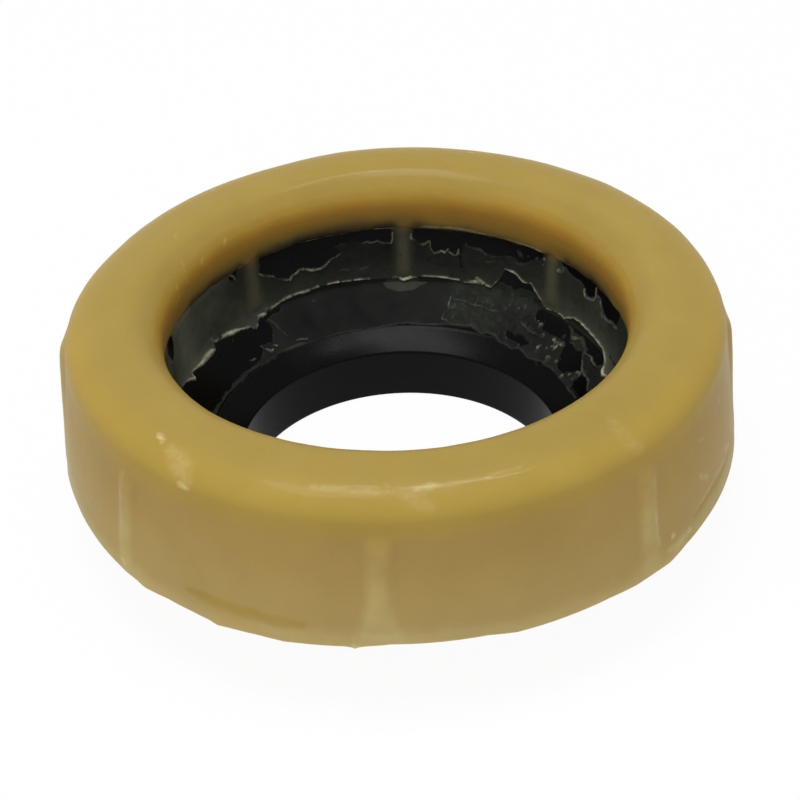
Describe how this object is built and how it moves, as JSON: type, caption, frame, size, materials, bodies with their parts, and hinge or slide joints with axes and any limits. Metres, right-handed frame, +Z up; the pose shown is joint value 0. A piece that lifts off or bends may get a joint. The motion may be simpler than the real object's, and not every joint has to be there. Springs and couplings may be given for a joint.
{
  "type": "toilet pan seal",
  "caption": "Thick wax ring with a rounded top and ribbed wall, moulded round a black plastic funnel whose sleeve stands out below.",
  "frame": {"origin": "centre of the funnel sleeve's lower end, on the surface that the seal stands on", "axes": "+Z up along the bore, from the sleeve to the wax ring's crown; +X and +Y each point at a rib of the ring"},
  "size_m": [0.1414, 0.1407, 0.0493],
  "materials": {
    "wax": "satin, slightly translucent golden wax",
    "black_plastic": "smooth black moulded plastic"
  },
  "bodies": {
    "root": {"wax_ring": "wax", "funnel": "black_plastic"}
  },
  "joints": []
}
